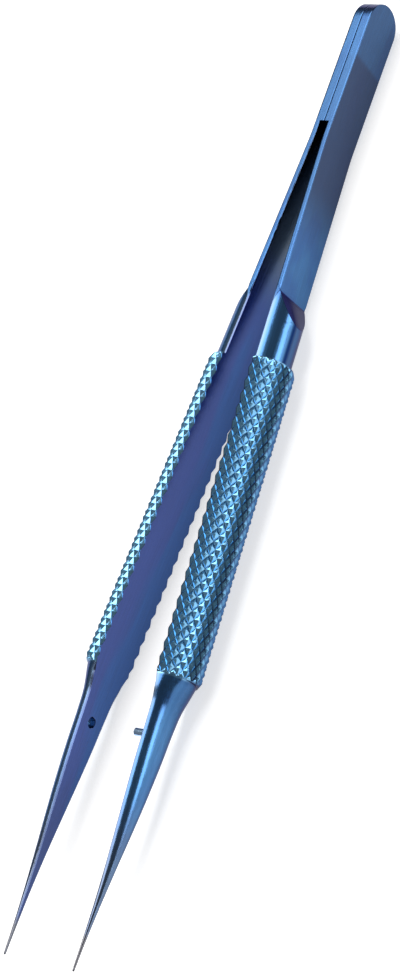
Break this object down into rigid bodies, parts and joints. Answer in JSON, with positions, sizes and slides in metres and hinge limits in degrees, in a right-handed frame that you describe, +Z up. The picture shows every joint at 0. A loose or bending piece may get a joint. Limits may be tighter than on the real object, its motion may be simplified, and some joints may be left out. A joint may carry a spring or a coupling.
{
  "type": "fine point tweezers",
  "caption": "Spring tweezers of blue anodised titanium with knurled half-round handles, slender needle tips and a guide pin that keeps the arms in line.",
  "frame": {"origin": "under the middle of the part's box, on the surface that the tweezers lie on", "axes": "+X from the butt to the tips, +Y from the left arm to the right arm, which is the way the arms open, +Z up, across the width of the arms"},
  "size_m": [0.1408, 0.0178, 0.008],
  "materials": {
    "anodised_titanium": "blue and violet anodised titanium, satin, with bare grey tips",
    "pin_steel": "turned and polished"
  },
  "bodies": {
    "root": {"left_arm": "anodised_titanium", "right_arm": "anodised_titanium", "guide_pin": "pin_steel"}
  },
  "joints": []
}
